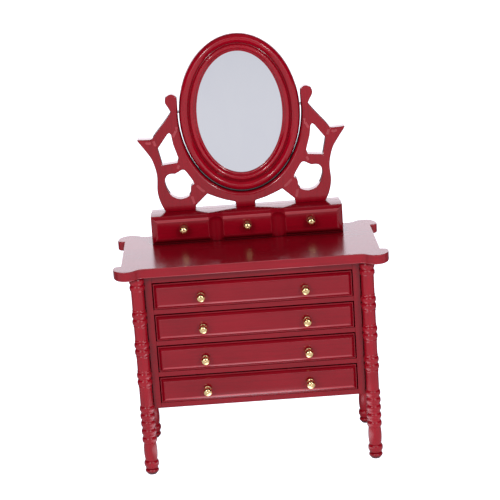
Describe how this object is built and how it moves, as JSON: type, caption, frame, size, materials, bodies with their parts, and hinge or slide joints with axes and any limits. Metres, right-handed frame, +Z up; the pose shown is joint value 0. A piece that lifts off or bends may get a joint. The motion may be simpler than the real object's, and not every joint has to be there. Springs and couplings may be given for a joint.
{
  "type": "miniature dressing table",
  "caption": "Dolls-house dressing table with turned legs, ball-knobbed drawers, a moulded mirror box and an oval mirror swinging in a fretted stand.",
  "frame": {"origin": "centre of the table top's outline, on the floor", "axes": "+X to the viewer's right, +Y to the back, +Z up"},
  "size_m": [0.0956, 0.0522, 0.1495],
  "materials": {
    "cherry_wood": "gloss varnish over cherry-red stain",
    "inner_wood": "thin satin stain",
    "brass": "polished",
    "steel": "bright wire",
    "mirror_silver": "polished mirror"
  },
  "bodies": {
    "carcass": {"table_top": "cherry_wood", "leg_front_left": "cherry_wood", "leg_front_right": "cherry_wood", "leg_back_left": "cherry_wood", "leg_back_right": "cherry_wood", "side_panel_left": "cherry_wood", "side_panel_right": "cherry_wood", "stile_left": "cherry_wood", "stile_right": "cherry_wood", "rail_top": "cherry_wood", "rail_1": "cherry_wood", "rail_2": "cherry_wood", "rail_3": "cherry_wood", "rail_bottom": "cherry_wood", "shelf_1": "inner_wood", "shelf_2": "inner_wood", "shelf_3": "inner_wood", "bottom_board": "inner_wood", "back_panel": "cherry_wood", "mirror_box": "cherry_wood", "mirror_stand": "cherry_wood", "box_knob_left": "brass", "box_knob_middle": "brass", "box_knob_right": "brass"},
    "drawer_1": {"drawer_1_front": "cherry_wood", "drawer_1_side_left": "inner_wood", "drawer_1_side_right": "inner_wood", "drawer_1_back": "inner_wood", "drawer_1_bottom": "inner_wood", "drawer_1_knob_left": "brass", "drawer_1_knob_right": "brass"},
    "drawer_2": {"drawer_2_front": "cherry_wood", "drawer_2_side_left": "inner_wood", "drawer_2_side_right": "inner_wood", "drawer_2_back": "inner_wood", "drawer_2_bottom": "inner_wood", "drawer_2_knob_left": "brass", "drawer_2_knob_right": "brass"},
    "drawer_3": {"drawer_3_front": "cherry_wood", "drawer_3_side_left": "inner_wood", "drawer_3_side_right": "inner_wood", "drawer_3_back": "inner_wood", "drawer_3_bottom": "inner_wood", "drawer_3_knob_left": "brass", "drawer_3_knob_right": "brass"},
    "drawer_4": {"drawer_4_front": "cherry_wood", "drawer_4_side_left": "inner_wood", "drawer_4_side_right": "inner_wood", "drawer_4_back": "inner_wood", "drawer_4_bottom": "inner_wood", "drawer_4_knob_left": "brass", "drawer_4_knob_right": "brass"},
    "mirror": {"mirror_frame": "cherry_wood", "mirror_glass": "mirror_silver", "mirror_backing": "inner_wood", "pivot_pin_left": "steel", "pivot_pin_right": "steel"}
  },
  "joints": [
    {"name": "drawer_1_slide", "type": "slide", "parent": "carcass", "child": "drawer_1", "axis": [0, -1, 0], "range_m": [0, 0.024]},
    {"name": "drawer_2_slide", "type": "slide", "parent": "carcass", "child": "drawer_2", "axis": [0, -1, 0], "range_m": [0, 0.024]},
    {"name": "drawer_3_slide", "type": "slide", "parent": "carcass", "child": "drawer_3", "axis": [0, -1, 0], "range_m": [0, 0.024]},
    {"name": "drawer_4_slide", "type": "slide", "parent": "carcass", "child": "drawer_4", "axis": [0, -1, 0], "range_m": [0, 0.024]},
    {"name": "mirror_tilt", "type": "hinge", "parent": "carcass", "child": "mirror", "pos_m": [0, 0.0195, 0.1225], "axis": [1, 0, 0], "continuous": true}
  ]
}
